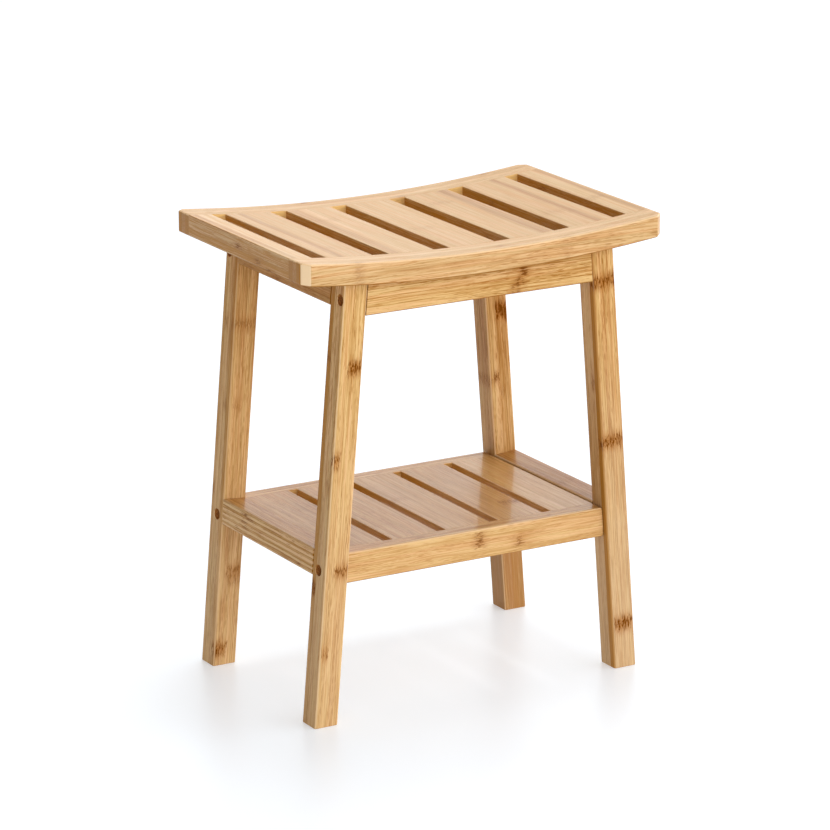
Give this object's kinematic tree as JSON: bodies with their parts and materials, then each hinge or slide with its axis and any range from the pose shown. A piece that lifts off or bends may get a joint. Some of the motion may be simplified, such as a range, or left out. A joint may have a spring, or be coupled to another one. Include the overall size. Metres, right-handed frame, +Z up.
{
  "type": "shower stool",
  "caption": "Small bamboo bath stool with a dished slatted seat, legs splayed towards its ends, and a low slatted shelf; bolted knock-down frame.",
  "frame": {"origin": "on the floor, below the middle of the seat", "axes": "+X along the seat to the right, +Y to the back, +Z up; the front faces -Y"},
  "size_m": [0.401, 0.26, 0.465],
  "materials": {
    "seat_bamboo": "clear satin lacquer on pale laminated bamboo",
    "frame_bamboo": "clear satin lacquer on honey-coloured laminated bamboo",
    "shelf_bamboo": "clear semi-gloss lacquer on honey-coloured laminated bamboo",
    "zinc_steel": "dull zinc plating",
    "brass": "plain turned brass"
  },
  "bodies": {
    "root": {"seat_front_rail": "seat_bamboo", "seat_back_rail": "seat_bamboo", "seat_end_board_left": "seat_bamboo", "seat_end_board_right": "seat_bamboo", "seat_slat_1": "seat_bamboo", "seat_slat_2": "seat_bamboo", "seat_slat_3": "seat_bamboo", "seat_slat_4": "seat_bamboo", "seat_slat_5": "seat_bamboo", "left_top_crossbar": "frame_bamboo", "left_shelf_crossbar": "frame_bamboo", "right_top_crossbar": "frame_bamboo", "right_shelf_crossbar": "frame_bamboo", "front_apron": "frame_bamboo", "shelf_front_rail": "shelf_bamboo", "back_apron": "frame_bamboo", "shelf_back_rail": "shelf_bamboo", "leg_front_left": "frame_bamboo", "top_bolt_front_left": "zinc_steel", "top_insert_front_left": "brass", "shelf_bolt_front_left": "zinc_steel", "shelf_insert_front_left": "brass", "seat_screw_front_left": "zinc_steel", "leg_front_right": "frame_bamboo", "top_bolt_front_right": "zinc_steel", "top_insert_front_right": "brass", "shelf_bolt_front_right": "zinc_steel", "shelf_insert_front_right": "brass", "seat_screw_front_right": "zinc_steel", "leg_back_left": "frame_bamboo", "top_bolt_back_left": "zinc_steel", "top_insert_back_left": "brass", "shelf_bolt_back_left": "zinc_steel", "shelf_insert_back_left": "brass", "seat_screw_back_left": "zinc_steel", "leg_back_right": "frame_bamboo", "top_bolt_back_right": "zinc_steel", "top_insert_back_right": "brass", "shelf_bolt_back_right": "zinc_steel", "shelf_insert_back_right": "brass", "seat_screw_back_right": "zinc_steel", "shelf_slat_1": "shelf_bamboo", "shelf_slat_2": "shelf_bamboo", "shelf_slat_3": "shelf_bamboo", "shelf_slat_4": "shelf_bamboo", "shelf_slat_5": "shelf_bamboo"}
  },
  "joints": []
}
